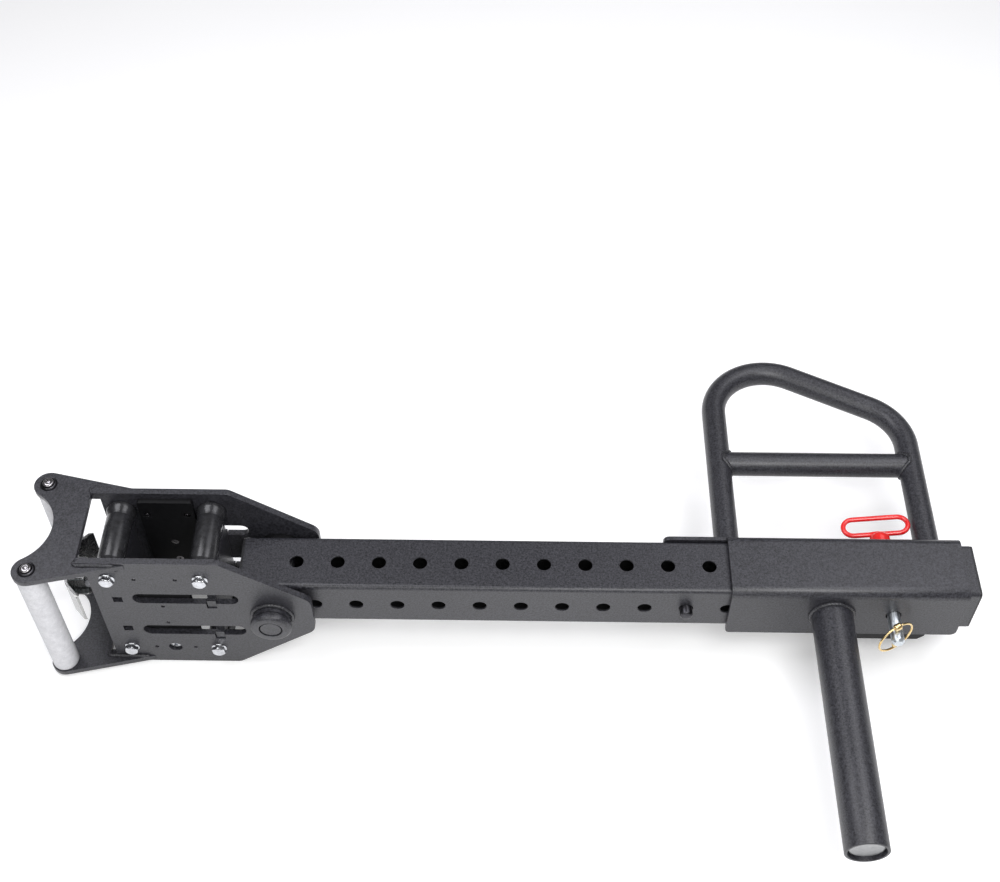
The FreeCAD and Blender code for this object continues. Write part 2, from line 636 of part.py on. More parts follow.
def lynch_ring():
    """Ring wire hanging below its hinge, with two inturned ends that pivot in the lynch pin's head."""
    def on_ring(angle):
        return V(ring_r * math.sin(angle), 0, -ring_gap + ring_r * math.cos(angle))

    gap = math.asin(end_x / ring_r)
    start, stop = on_ring(gap), on_ring(-gap)
    arc = Part.Wire(Part.Arc(start, on_ring(math.pi), stop).toShape())
    tangent = V(math.cos(gap), 0, -math.sin(gap))
    ring = arc.makePipeShell([Part.Wire(Part.makeCircle(ring_wire, start, tangent))], True, False)
    parts = []
    for side in (1, -1):
        parts.append(Part.makeSphere(ring_wire, V(side * end_x, 0, 0)))
        parts.append(Part.makeCylinder(ring_wire, end_x - 2.0, V(side * 2.0, 0, 0), V(side, 0, 0)))
    ring = ring.fuse(parts).removeSplitter()
    ring.Placement = lynch_place
    return ring


save("lynch_ring", [lynch_ring()])
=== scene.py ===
import json
import math

import bmesh
import bpy
from mathutils import Matrix, Vector, noise


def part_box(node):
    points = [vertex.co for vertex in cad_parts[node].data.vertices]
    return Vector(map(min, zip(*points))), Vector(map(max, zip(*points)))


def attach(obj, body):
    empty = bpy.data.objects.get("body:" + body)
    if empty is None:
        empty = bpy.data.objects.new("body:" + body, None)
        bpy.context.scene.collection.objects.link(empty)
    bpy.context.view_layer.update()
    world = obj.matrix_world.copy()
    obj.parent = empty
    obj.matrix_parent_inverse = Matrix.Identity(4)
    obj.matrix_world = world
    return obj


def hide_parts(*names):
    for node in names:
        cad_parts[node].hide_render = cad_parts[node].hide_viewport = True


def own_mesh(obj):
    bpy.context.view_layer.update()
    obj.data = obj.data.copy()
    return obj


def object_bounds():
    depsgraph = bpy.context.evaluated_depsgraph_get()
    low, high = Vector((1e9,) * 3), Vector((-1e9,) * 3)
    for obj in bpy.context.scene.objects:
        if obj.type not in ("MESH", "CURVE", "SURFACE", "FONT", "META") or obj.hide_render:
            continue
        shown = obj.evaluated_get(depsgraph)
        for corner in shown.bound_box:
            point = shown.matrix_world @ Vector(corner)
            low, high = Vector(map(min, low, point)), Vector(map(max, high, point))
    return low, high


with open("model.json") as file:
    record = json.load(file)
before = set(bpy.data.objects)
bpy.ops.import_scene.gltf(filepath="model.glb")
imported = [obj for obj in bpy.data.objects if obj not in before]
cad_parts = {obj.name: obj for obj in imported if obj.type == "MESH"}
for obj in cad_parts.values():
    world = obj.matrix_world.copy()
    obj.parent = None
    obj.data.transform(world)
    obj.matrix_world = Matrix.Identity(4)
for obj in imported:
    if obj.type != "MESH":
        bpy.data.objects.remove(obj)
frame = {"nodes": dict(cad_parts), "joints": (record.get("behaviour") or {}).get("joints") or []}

scene = bpy.context.scene
cad_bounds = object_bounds()
MM = 0.001
joints = {j["name"]: j for j in frame["joints"]}


# ---- places, all read from the frame ---------------------------------------------------------
def mid(node):
    lo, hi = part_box(node)
    return (lo + hi) / 2


def size(node):
    lo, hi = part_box(node)
    return hi - lo


def axis_frame(origin, axis, up=None):
    """Matrix whose local Z runs along axis from origin."""
    z = Vector(axis).normalized()
    hint = Vector(up) if up else (Vector((0, 0, 1)) if abs(z.z) < 0.9 else Vector((1, 0, 0)))
    x = (hint - z * hint.dot(z)).normalized()
    y = z.cross(x)
    m = Matrix((x, y, z)).transposed().to_4x4()
    m.translation = Vector(origin)
    return m


# ---- materials -------------------------------------------------------------------------------
class Shader:
    """Small helper that builds one node material around a Principled shader."""

    def __init__(self, name):
        self.mat = bpy.data.materials.new(name)
        self.mat.use_nodes = True
        self.tree = self.mat.node_tree
        self.tree.nodes.clear()
        self.out = self.add("ShaderNodeOutputMaterial")
        self.bsdf = self.add("ShaderNodeBsdfPrincipled")
        self.link(self.bsdf.outputs[0], self.out.inputs[0])
        self.coord = self.add("ShaderNodeTexCoord").outputs["Object"]
        self.height = None

    def add(self, kind, **props):
        node = self.tree.nodes.new(kind)
        for key, value in props.items():
            setattr(node, key, value)
        return node

    def link(self, a, b):
        self.tree.links.new(a, b)

    def set(self, **values):
        names = {"metallic": "Metallic", "specular": "Specular IOR Level", "coat": "Coat Weight",
                 "coat_rough": "Coat Roughness"}
        for key, value in values.items():
            self.bsdf.inputs[names[key]].default_value = value

    def noise(self, scale, detail=2.0, rough=0.5, stretch=None):
        src = self.coord
        if stretch:
            mapping = self.add("ShaderNodeMapping")
            mapping.inputs["Scale"].default_value = stretch
            self.link(src, mapping.inputs["Vector"])
            src = mapping.outputs[0]
        node = self.add("ShaderNodeTexNoise")
        node.inputs["Scale"].default_value = scale
        node.inputs["Detail"].default_value = detail
        node.inputs["Roughness"].default_value = rough
        self.link(src, node.inputs["Vector"])
        return node.outputs["Fac"]

    def cells(self, scale):
        node = self.add("ShaderNodeTexVoronoi", feature="F1")
        node.inputs["Scale"].default_value = scale
        self.link(self.coord, node.inputs["Vector"])
        return node.outputs["Distance"]

    def range(self, fac, a, b, lo, hi):
        node = self.add("ShaderNodeMapRange", clamp=True)
        for key, value in zip(("From Min", "From Max", "To Min", "To Max"), (a, b, lo, hi)):
            node.inputs[key].default_value = value
        self.link(fac, node.inputs["Value"])
        return node.outputs["Result"]

    def math(self, op, a, b):
        node = self.add("ShaderNodeMath", operation=op)
        for i, value in enumerate((a, b)):
            if isinstance(value, (int, float)):
                node.inputs[i].default_value = value
            else:
                self.link(value, node.inputs[i])
        return node.outputs[0]

    def mix(self, fac, a, b):
        node = self.add("ShaderNodeMix", data_type="RGBA", blend_type="MIX")
        for key, value in (("Factor", fac), ("A", a), ("B", b)):
            socket = [s for s in node.inputs if s.name == key and s.enabled][0]
            if isinstance(value, (int, float)):
                socket.default_value = value
            elif isinstance(value, tuple):
                socket.default_value = (*value, 1)
            else:
                self.link(value, socket)
        return [s for s in node.outputs if s.enabled][0]

    def facing_up(self):
        """How far the surface looks up, 0 to 1, for settled dust."""
        geo = self.add("ShaderNodeNewGeometry")
        split = self.add("ShaderNodeSeparateXYZ")
        self.link(geo.outputs["Normal"], split.inputs[0])
        return self.range(split.outputs["Z"], 0.5, 1.0, 0.0, 1.0)

    def rounded_edge_mask(self, radius, lo, hi):
        """Mask of rounded edges, from a widened bevel normal against the true one."""
        bevel = self.add("ShaderNodeBevel", samples=4)
        bevel.inputs["Radius"].default_value = radius
        geo = self.add("ShaderNodeNewGeometry")
        dot = self.add("ShaderNodeVectorMath", operation="DOT_PRODUCT")
        self.link(bevel.outputs[0], dot.inputs[0])
        self.link(geo.outputs["Normal"], dot.inputs[1])
        return self.range(dot.outputs["Value"], hi, lo, 0.0, 1.0)

    def bump(self, height, strength, distance):
        node = self.add("ShaderNodeBump")
        node.inputs["Strength"].default_value = strength
        node.inputs["Distance"].default_value = distance
        self.link(height, node.inputs["Height"])
        if self.height is not None:
            self.link(self.height, node.inputs["Normal"])
        self.height = node.outputs[0]
        self.link(self.height, self.bsdf.inputs["Normal"])

    def color(self, socket):
        self.link(socket, self.bsdf.inputs["Base Color"])

    def rough(self, socket):
        self.link(socket, self.bsdf.inputs["Roughness"])


COAT_DARK = (0.002, 0.002, 0.003)
COAT_LIGHT = (0.040, 0.040, 0.048)
COAT_WELD = (0.034, 0.034, 0.040)
# pale tone for the edges: partly rubbed coat, partly a painted edge highlight
EDGE_WEAR_AND_HIGHLIGHT = (0.12, 0.12, 0.13)
SCUFF = (0.11, 0.11, 0.12)
DUST = (0.35, 0.35, 0.36)
TUBE_SHADE_HALF_WIDTH = 35.2 * MM     # half width of the arm tube's interior, which is painted near black as shade


def powder_coat(name, dark, light, scuffs=0.0, shade_half_width=None):
    """Fine-textured charcoal powder coat: sand-like grain, pale flecks, a trace of dust, and lighter edges
    in patches, partly rubbed coat and partly a painted edge highlight.

    shade_half_width is the half width of a square space along X that is painted almost black, as painted
    shade within the arm's tube.
    """
    s = Shader(name)
    grain = s.noise(1500, 2, 0.6)
    sand = s.noise(430, 3, 0.7)
    cloud = s.noise(5, 2, 0.5)
    base = s.mix(s.range(sand, 0.36, 0.64, 0.0, 1.0), dark, light)
    base = s.mix(s.range(grain, 0.54, 0.70, 0.0, 0.6), base, tuple(min(1.0, c * 2.2) for c in light))
    base = s.mix(s.range(cloud, 0.3, 0.7, 0.0, 0.12), base, tuple(c * 0.6 for c in dark))
    # lighter edges in patches: partly rubbed coat, partly a painted edge highlight
    edge = s.rounded_edge_mask(0.0010, 0.55, 0.97)
    edge = s.math("MULTIPLY", edge, s.range(s.noise(220, 3, 0.6), 0.45, 0.66, 0.04, 0.55))
    base = s.mix(edge, base, EDGE_WEAR_AND_HIGHLIGHT)
    dust = s.math("MULTIPLY", s.facing_up(), s.range(s.noise(300, 3, 0.7), 0.55, 0.8, 0.0, 0.05))
    base = s.mix(dust, base, DUST)
    if scuffs:
        streak = s.noise(30, 5, 0.7, stretch=(0.35, 9.0, 9.0))
        mask = s.math("MULTIPLY", s.range(streak, 0.68, 0.76, 0.0, scuffs),
                      s.range(cloud, 0.5, 0.62, 0.0, 1.0))
        base = s.mix(mask, base, SCUFF)
    # painted shade: within the tube's interior the coat is painted near black and made rough, standing in
    # for unlit space
    if shade_half_width:
        split = s.add("ShaderNodeSeparateXYZ")
        s.link(s.coord, split.inputs[0])
        reach = s.math("MAXIMUM", s.math("ABSOLUTE", split.outputs["Y"], 0),
                       s.math("ABSOLUTE", split.outputs["Z"], 0))
        shade_mask = s.range(reach, shade_half_width, shade_half_width + 0.0006, 1.0, 0.0)
        base = s.mix(shade_mask, base, (0.0006, 0.0006, 0.0007))
    s.color(base)
    blend = s.math("ADD", s.math("MULTIPLY", sand, 0.8), s.math("MULTIPLY", cloud, 0.2))
    rough = s.range(blend, 0.35, 0.65, 0.29, 0.44)
    s.rough(s.math("MAXIMUM", rough, s.math("MULTIPLY", shade_mask, 0.9)) if shade_half_width else rough)
    s.set(specular=0.5)
    s.bump(sand, 0.8, 0.00030)
    s.bump(grain, 0.4, 0.00010)
    return s.mat


def moulded(name, dark, light, roughness, grain=900, streak=None, gloss=0.0, speckle=None, specular=0.5):
    """Moulded plastic: slight mottling, fine surface grain, and a highlight painted along the rounded edges.
    """
    s = Shader(name)
    mottle = s.noise(150, 4, 0.6)
    fine = s.noise(grain, 2, 0.5)
    base = s.mix(s.range(mottle, 0.3, 0.7, 0.0, 1.0), dark, light)
    if speckle:
        scale, strength, dot_tone, fleck_tone = speckle
        dots = s.cells(scale)
        base = s.mix(s.range(dots, 0.10, 0.28, strength, 0.0), base, dot_tone)
        flecks = s.noise(scale * 0.6, 3, 0.7)
        base = s.mix(s.range(flecks, 0.55, 0.72, 0.0, 0.5), base, fleck_tone)
    # painted highlight: rounded edges are lightened towards near white
    edge = s.rounded_edge_mask(0.001, 0.6, 0.97)
    base = s.mix(s.math("MULTIPLY", edge, 0.35), base, tuple(min(1.0, c * 2.2 + 0.03) for c in light))
    s.color(base)
    s.rough(s.range(mottle, 0.3, 0.7, roughness - 0.02, roughness + 0.03))
    if streak:
        rings = s.noise(40, 4, 0.6, stretch=streak)
        s.bump(rings, 0.25, 0.00015)
    s.bump(fine, 0.25, 0.00008)
    s.set(specular=specular, coat=gloss, coat_rough=0.08)
    return s.mat


def plated(name, tone, tint, roughness, stretch=None, cast=0.0, grime=0.35):
    """Zinc-plated, stainless or brass-toned metal with drawing lines, bloom and grime darkening the lines.
    """
    s = Shader(name)
    bloom = s.noise(140, 4, 0.6)
    lines = s.noise(260, 4, 0.65, stretch=stretch or (1, 1, 1))
    base = s.mix(s.range(bloom, 0.3, 0.75, 0.0, 1.0), tone, tint)
    base = s.mix(s.range(lines, 0.52, 0.7, 0.0, grime), base, tuple(c * 0.55 for c in tone))
    s.color(base)
    s.rough(s.range(s.math("ADD", s.math("MULTIPLY", bloom, 0.5), s.math("MULTIPLY", lines, 0.5)),
                    0.3, 0.7, roughness * 0.7, roughness * 1.5))
    s.set(metallic=1.0)
    s.bump(lines, 0.12, 0.00008)
    if cast:
        s.bump(s.noise(500, 3, 0.6), cast, 0.0001)
    return s.mat


def dipped_vinyl(name):
    """Thick glossy red dip: slightly uneven, with a few darker specks."""
    s = Shader(name)
    thick = s.noise(45, 3, 0.5)
    base = s.mix(s.range(thick, 0.3, 0.7, 0.0, 1.0), (0.62, 0.006, 0.008), (0.80, 0.018, 0.016))
    specks = s.noise(420, 3, 0.7)
    base = s.mix(s.range(specks, 0.68, 0.78, 0.0, 0.5), base, (0.30, 0.003, 0.004))
    s.color(base)
    s.rough(s.range(thick, 0.3, 0.7, 0.16, 0.26))
    s.set(specular=0.5, coat=0.7, coat_rough=0.08)
    s.bump(thick, 0.25, 0.0006)
    s.bump(s.noise(700, 2, 0.5), 0.08, 0.0001)
    return s.mat


M = {
    "powder": powder_coat("powder_coat", COAT_DARK, COAT_LIGHT),
    "powder_arm": powder_coat("powder_coat_arm", COAT_DARK, COAT_LIGHT, scuffs=0.3, shade_half_width=TUBE_SHADE_HALF_WIDTH),
    "weld": powder_coat("powder_coat_weld", COAT_DARK, COAT_WELD),
    "roller": moulded("roller_nylon", (0.012, 0.012, 0.013), (0.026, 0.026, 0.029), 0.24, 700,
                      streak=(9, 0.3, 9)),
    "liner": moulded("liner_plastic", (0.0025, 0.0025, 0.003), (0.006, 0.006, 0.007), 0.50, 500,
                     specular=0.22),
    "plug": moulded("plug_plastic", (0.008, 0.008, 0.009), (0.018, 0.018, 0.020), 0.40, 1100,
                    specular=0.4),
    "grip": moulded("grip_grey", (0.50, 0.50, 0.52), (0.62, 0.62, 0.64), 0.62, 1200,
                    speckle=(1100, 0.55, (0.30, 0.30, 0.32), (0.80, 0.80, 0.82))),
    "cap": moulded("post_cap_gloss", (0.10, 0.105, 0.11), (0.16, 0.165, 0.17), 0.18, 300, gloss=0.7),
    "zinc": plated("bright_zinc", (0.46, 0.47, 0.49), (0.66, 0.67, 0.70), 0.18, cast=0.1),
    "zinc_pin": plated("zinc_pin", (0.50, 0.54, 0.57), (0.66, 0.70, 0.73), 0.34,
                       stretch=(12, 0.6, 12), grime=0.12),
    "black_screw": plated("black_oxide", (0.20, 0.19, 0.20), (0.42, 0.41, 0.42), 0.12),
    "black_pin": plated("black_oxide_pin", (0.030, 0.030, 0.034), (0.075, 0.073, 0.080), 0.30),
    "stainless": plated("stainless_sheet", (0.34, 0.34, 0.34), (0.52, 0.52, 0.51), 0.22,
                        stretch=(0.6, 0.6, 14)),
    "spring": plated("spring_wire", (0.38, 0.38, 0.40), (0.55, 0.55, 0.57), 0.3),
    "brass": plated("yellow_zinc", (0.72, 0.50, 0.20), (0.88, 0.72, 0.42), 0.24, cast=0.15),
    "red": dipped_vinyl("red_vinyl"),
}


# ---- mesh tools ------------------------------------------------------------------------------
def piece(name, bm, body, look, replaces=(), sharp=32):
    """Turns the mesh into a smooth-shaded object that rides a body, in place of the named nodes."""
    bmesh.ops.recalc_face_normals(bm, faces=bm.faces)
    mesh = bpy.data.meshes.new(name)
    bm.to_mesh(mesh)
    bm.free()
    mesh.polygons.foreach_set("use_smooth", [True] * len(mesh.polygons))
    mesh.set_sharp_from_angle(angle=math.radians(sharp))
    mesh.materials.append(M[look])
    ob = bpy.data.objects.new(name, mesh)
    scene.collection.objects.link(ob)
    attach(ob, body)
    if replaces:
        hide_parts(*replaces)
    return ob


def ring_verts(bm, matrix, radii, t, twist=0.0):
    """Ring of vertices round the matrix's Z at height t, with one radius per vertex."""
    count = len(radii)
    out = []
    for i, r in enumerate(radii):
        a = 2 * math.pi * i / count + twist
        out.append(bm.verts.new(matrix @ Vector((r * math.cos(a), r * math.sin(a), t))))
    return out


def bridge(bm, a, b):
    count = len(a)
    for i in range(count):
        j = (i + 1) % count
        bm.faces.new((a[i], a[j], b[j], b[i]))


def skin(bm, rings, closed=False):
    """Joins rings of vertices into a tube, and closes it into a loop or with a face at each end."""
    for a, b in zip(rings, rings[1:]):
        bridge(bm, a, b)
    if closed:
        bridge(bm, rings[-1], rings[0])
    else:
        bm.faces.new(rings[0])
        bm.faces.new(rings[-1])


def lathe(bm, matrix, profile, segs=64, closed=False):
    """Revolves (radius, t) points about the matrix's Z. Closed profiles make a ring, open ones get caps."""
    rings = [ring_verts(bm, matrix, [r] * segs, t) for r, t in profile]
    skin(bm, rings, closed)


def hex_radius(flats, angle):
    """Distance from the middle to a hexagon's side in that direction; corners lie at 0, 60, ... degrees."""
    sector = math.radians(60)
    return flats / 2 / math.cos((angle % sector) - sector / 2)


def hex_loft(bm, matrix, steps, segs=72, turn=0.0):
    """Rings whose radius is the smaller of a hexagon and a limit: (t, flats or None, limit)."""
    rings = []
    for t, flats, limit in steps:
        radii = []
        for i in range(segs):
            a = 2 * math.pi * i / segs
            radii.append(limit if flats is None else min(hex_radius(flats, a), limit))
        rings.append(ring_verts(bm, matrix, radii, t, turn))
    skin(bm, rings)


def thread(bm, matrix, r, t0, t1, pitch, depth, segs=28):
    """A real helical thread with rounded crests between t0 and t1, closed at both ends."""
    steps = int((t1 - t0) / pitch * 6)
    rings = []
    for k in range(steps + 1):
        t = t0 + (t1 - t0) * k / steps
        fade = min(1.0, k / 4, (steps - k) / 4)
        ring = []
        for i in range(segs):
            a = 2 * math.pi * i / segs
            wave = 0.5 - 0.5 * math.cos(2 * math.pi * (t / pitch - a / (2 * math.pi)))
            rr = r - depth * fade * wave - (1 - fade) * depth * 0.8
            ring.append(bm.verts.new(matrix @ Vector((rr * math.cos(a), rr * math.sin(a), t))))
        rings.append(ring)
    skin(bm, rings)


def frames_along(points, closed):
    """Tangents and carried normals for a sweep."""
    count = len(points)
    out = []
    normal = None
    for i, p in enumerate(points):
        if closed:
            tangent = points[(i + 1) % count] - points[i - 1]
        else:
            tangent = points[min(i + 1, count - 1)] - points[max(i - 1, 0)]
        tangent.normalize()
        if normal is None:
            normal = Vector((0, 0, 1)) if abs(tangent.z) < 0.9 else Vector((1, 0, 0))
        normal = (normal - tangent * normal.dot(tangent)).normalized()
        out.append((p, tangent, normal.copy(), tangent.cross(normal)))
    return out


def sweep(bm, points, radius, segs=32, closed=False, radius_at=None):
    """Round bar along the points."""
    rings = []
    for i, (p, _, n, b) in enumerate(frames_along(points, closed)):
        r = radius_at(i) if radius_at else radius
        rings.append([bm.verts.new(p + (n * math.cos(a) + b * math.sin(a)) * r)
                      for a in (2 * math.pi * k / segs for k in range(segs))])
    skin(bm, rings, closed)


def arc_points(centre, radius, a0, a1, u, v, count):
    """Points of an arc in the plane of u and v, from angle a0 to a1."""
    angles = [a0 + (a1 - a0) * k / count for k in range(count + 1)]
    return [centre + (u * math.cos(a) + v * math.sin(a)) * radius for a in angles]


def resample(points, step, closed=False):
    """The same line with its points about one step apart."""
    pts = list(points) + ([points[0]] if closed else [])
    lengths = [0.0]
    for a, b in zip(pts, pts[1:]):
        lengths.append(lengths[-1] + (b - a).length)
    count = max(8, int(lengths[-1] / step))
    out = []
    seg = 0
    for k in range(count + (0 if closed else 1)):
        target = lengths[-1] * k / count
        while seg < len(lengths) - 2 and lengths[seg + 1] < target:
            seg += 1
        span = lengths[seg + 1] - lengths[seg]
        f = (target - lengths[seg]) / span if span else 0
        out.append(pts[seg].lerp(pts[seg + 1], f))
    return out


BEAD_STEP_MM = 0.55
BEAD_SEGS = 14


def weld_bead(bm, points, radius, closed=False, ripple=3.0 * MM, seed=0.0):
    """Bead of overlapping crescents, as a hand weld leaves, softened by the coat."""
    pts = resample(points, BEAD_STEP_MM * MM, closed)
    count = len(pts)
    turns = max(1, round(count * BEAD_STEP_MM * MM / ripple))
    rings = []
    for i, (p, _, n, b) in enumerate(frames_along(pts, closed)):
        end = 1.0 if closed else min(1.0, (i + 1) / 6, (count - i) / 6)
        ring = []
        for k in range(BEAD_SEGS):
            a = 2 * math.pi * k / BEAD_SEGS
            out = n * math.cos(a) + b * math.sin(a)
            phase = turns * i / count + 0.22 * math.cos(a * 2)
            crest = abs(math.sin(math.pi * phase)) ** 0.6
            wander = noise.noise(p * 260 + Vector((seed, 0, 0)))
            r = radius * (0.86 + 0.16 * crest + 0.10 * wander) * math.sqrt(max(end, 0.05))
            ring.append(bm.verts.new(p + out * r))
        rings.append(ring)
    skin(bm, rings, closed)


def circle_points(centre, radius, axis, count=160):
    m = axis_frame(centre, axis)
    angles = [2 * math.pi * k / count for k in range(count)]
    return [m @ Vector((radius * math.cos(a), radius * math.sin(a), 0)) for a in angles]


# ---- CAD nodes that keep their shape: rounded edges and a material ---------------------------
# node: (material, rounding of its edges in mm)
KEPT = {
    "side_plate_near": ("powder", 0.7), "side_plate_far": ("powder", 0.7), "ear_plate_top": ("powder", 0.7),
    "ear_plate_bottom": ("powder", 0.7), "lock_plate": ("powder", 0.5), "stop_plate": ("powder", 0.5),
    "liner_near": ("liner", 0.8), "liner_far": ("liner", 0.8), "liner_screws": ("black_screw", 0.25),
    "recess_screws": ("zinc", 0.4), "pivot_shaft": ("powder", 0.5), "lock_barrel": ("zinc", 0.3),
    "lock_pin": ("zinc_pin", 0.3), "trigger": ("stainless", 0.5), "trigger_cheeks": ("stainless", 0.4),
    "trigger_nut": ("zinc", 0.3), "arm_tube": ("powder_arm", 0.35), "plug_left": ("plug", 0.6),
    "plug_right": ("plug", 0.6), "pivot_boss": ("powder", 0.4), "pivot_washers": ("liner", 0.4),
    "bracket": ("powder_arm", 0.6), "bracket_liners": ("liner", 0.3), "hitch_shank": ("zinc_pin", 0.25),
}
for name, (look, width) in KEPT.items():
    ob = frame["nodes"][name]
    ob.data.materials.clear()
    ob.data.materials.append(M[look])
    weld = ob.modifiers.new("join", "WELD")
    weld.merge_threshold = 2e-6
    bevel = ob.modifiers.new("round", "BEVEL")
    bevel.width = width * MM
    bevel.segments = 3
    bevel.limit_method = "ANGLE"
    bevel.angle_limit = math.radians(40)
    bevel.harden_normals = True
    bevel.use_clamp_overlap = True

# ---- rollers ---------------------------------------------------------------------------------
ROLLERS = {"roller_tl": "roller_upper_left", "roller_tr": "roller_upper_right",
           "roller_bl": "roller_lower_left", "roller_br": "roller_lower_right"}
for node, body in ROLLERS.items():
    centre, dims = mid(node), size(node)
    half, flare = dims.y / 2, dims.x / 2
    body_r = flare - 2.2 * MM
    side = [(5.3 * MM, -half + 1.2 * MM), (6.4 * MM, -half), (flare - 0.8 * MM, -half),
            (flare - 0.2 * MM, -half + 0.3 * MM), (flare, -half + 0.9 * MM), (flare, -half + 2.0 * MM)]
    for k in range(9):
        f = k / 8
        ease = 0.5 - 0.5 * math.cos(math.pi * f)
        side.append((flare - (flare - body_r) * ease, -half + (2.6 + 11.4 * f) * MM))
    side += [(body_r - 0.15 * MM, -half + 15.0 * MM), (body_r - 0.15 * MM, -half + 15.5 * MM),
             (body_r, -half + 16.0 * MM)]
    profile = side + [(r, -t) for r, t in reversed(side)]
    bm = bmesh.new()
    lathe(bm, axis_frame(centre, (0, 1, 0)), profile, 96, closed=True)
    piece(node + "_turned", bm, body, "roller", [node])

# ---- roller bolts and nuts -------------------------------------------------------------------
HEX_FLATS = 15.8 * MM
HEX_CORNER_R = 9.12 * MM
FLANGE_R = 9.6 * MM
NUT_H = 8.0 * MM
lo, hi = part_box("roller_bolts")
face_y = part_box("side_plate_near")[0].y
back_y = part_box("side_plate_far")[1].y
bolts, nuts = bmesh.new(), bmesh.new()
for i, node in enumerate(ROLLERS):
    c = mid(node)
    turn = (0.3, 1.35, 0.75, 0.1)[i]
    head = axis_frame((c.x, face_y, c.z), (0, -1, 0))
    top = face_y - lo.y
    hex_loft(bolts, head, [
        (0.0, None, 9.2 * MM), (0.25 * MM, None, FLANGE_R), (0.9 * MM, None, FLANGE_R),
        (1.5 * MM, None, 9.1 * MM), (2.1 * MM, None, 8.1 * MM), (2.3 * MM, 15.6 * MM, 8.9 * MM),
        (2.6 * MM, HEX_FLATS, HEX_CORNER_R), (top - 1.9 * MM, HEX_FLATS, HEX_CORNER_R),
        (top - 1.0 * MM, HEX_FLATS, 8.3 * MM), (top - 0.35 * MM, HEX_FLATS, 7.4 * MM),
        (top - 0.05 * MM, None, 6.9 * MM), (top, None, 6.4 * MM), (top - 0.35 * MM, None, 5.6 * MM),
        (top - 0.55 * MM, None, 4.0 * MM), (top - 0.6 * MM, None, 1.0 * MM)], turn=turn)
    lathe(bolts, axis_frame((c.x, face_y, c.z), (0, 1, 0)),
          [(4.9 * MM, 0.1 * MM), (4.9 * MM, back_y - face_y - 2 * MM)], 32)
    tail = axis_frame((c.x, back_y, c.z), (0, 1, 0))
    thread(bolts, tail, 5.0 * MM, -2.2 * MM, hi.y - back_y, 1.5 * MM, 0.75 * MM)
    hex_loft(nuts, tail, [
        (0.0, None, 9.2 * MM), (0.2 * MM, None, FLANGE_R), (1.4 * MM, None, FLANGE_R),
        (1.6 * MM, None, 9.3 * MM), (1.62 * MM, HEX_FLATS, 8.3 * MM), (2.3 * MM, HEX_FLATS, HEX_CORNER_R),
        (7.2 * MM, HEX_FLATS, HEX_CORNER_R), (7.75 * MM, HEX_FLATS, 8.4 * MM), (NUT_H, HEX_FLATS, 7.7 * MM),
        (NUT_H, None, 6.2 * MM), (7.6 * MM, None, 5.4 * MM), (7.4 * MM, None, 5.0 * MM)], turn=turn * 1.7)
piece("roller_bolt_set", bolts, "trolley", "zinc", ["roller_bolts"], sharp=28)
piece("roller_nut_set", nuts, "trolley", "zinc", ["roller_nuts"], sharp=28)

# ---- grips, cup washers and button screws ----------------------------------------------------
washers, screws = bmesh.new(), bmesh.new()
ear_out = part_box("ear_plate_top")[1].z
screw_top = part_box("grip_screws")[1].z
socket_r = 3.1 * MM
for node in ("grip_near", "grip_far"):
    c, dims = mid(node), size(node)
    r, half = dims.x / 2, dims.z / 2
    bm = bmesh.new()
    rounding = [(r - 1.6 * MM, -half), (r - 0.9 * MM, -half + 0.12 * MM), (r - 0.3 * MM, -half + 0.55 * MM),
                (r, -half + 1.4 * MM)]
    body_part = [(r, -half * 0.5), (r, 0.0)]
    profile = rounding + body_part + [(a, -t) for a, t in reversed(rounding + body_part[:1])]
    lathe(bm, axis_frame(c, (0, 0, 1)), profile, 80)
    piece(node + "_sleeve", bm, "trolley", "grip", [node])
    for sign in (1, -1):
        base = axis_frame((c.x, c.y, sign * ear_out), (0, 0, sign))
        lathe(washers, base, [
            (5.0 * MM, 0.0), (10.2 * MM, 0.0), (10.6 * MM, 0.35 * MM), (10.5 * MM, 0.9 * MM),
            (9.9 * MM, 2.0 * MM), (9.0 * MM, 2.9 * MM), (8.5 * MM, 3.2 * MM), (8.0 * MM, 3.1 * MM),
            (7.6 * MM, 2.5 * MM), (7.45 * MM, 1.3 * MM), (5.0 * MM, 1.3 * MM)], 72, closed=True)
        height = screw_top - ear_out
        dome = [(1.25 * MM, 7.0 * MM), (1.8 * MM, 7.2 * MM)]
        for k in range(1, 9):
            a = math.radians(11.25 * k)
            dome.append((1.25 * MM + (height - 1.25 * MM) * math.sin(a) ** 0.9,
                         7.2 * MM - 3.5 * MM * (1 - math.cos(a)) ** 1.1))
        steps = [(t, None, rr) for t, rr in dome]
        steps += [(height - 0.05 * MM, 5.6 * MM, socket_r), (height - 0.5 * MM, 5.0 * MM, socket_r),
                  (height - 2.6 * MM, 5.0 * MM, socket_r), (height - 3.1 * MM, None, 1.0 * MM)]
        hex_loft(screws, base, steps, turn=0.4 * sign + c.y * 20)
piece("grip_cup_washers", washers, "trolley", "black_pin", ["grip_washers"])
piece("grip_button_screws", screws, "trolley", "black_screw", ["grip_screws"])

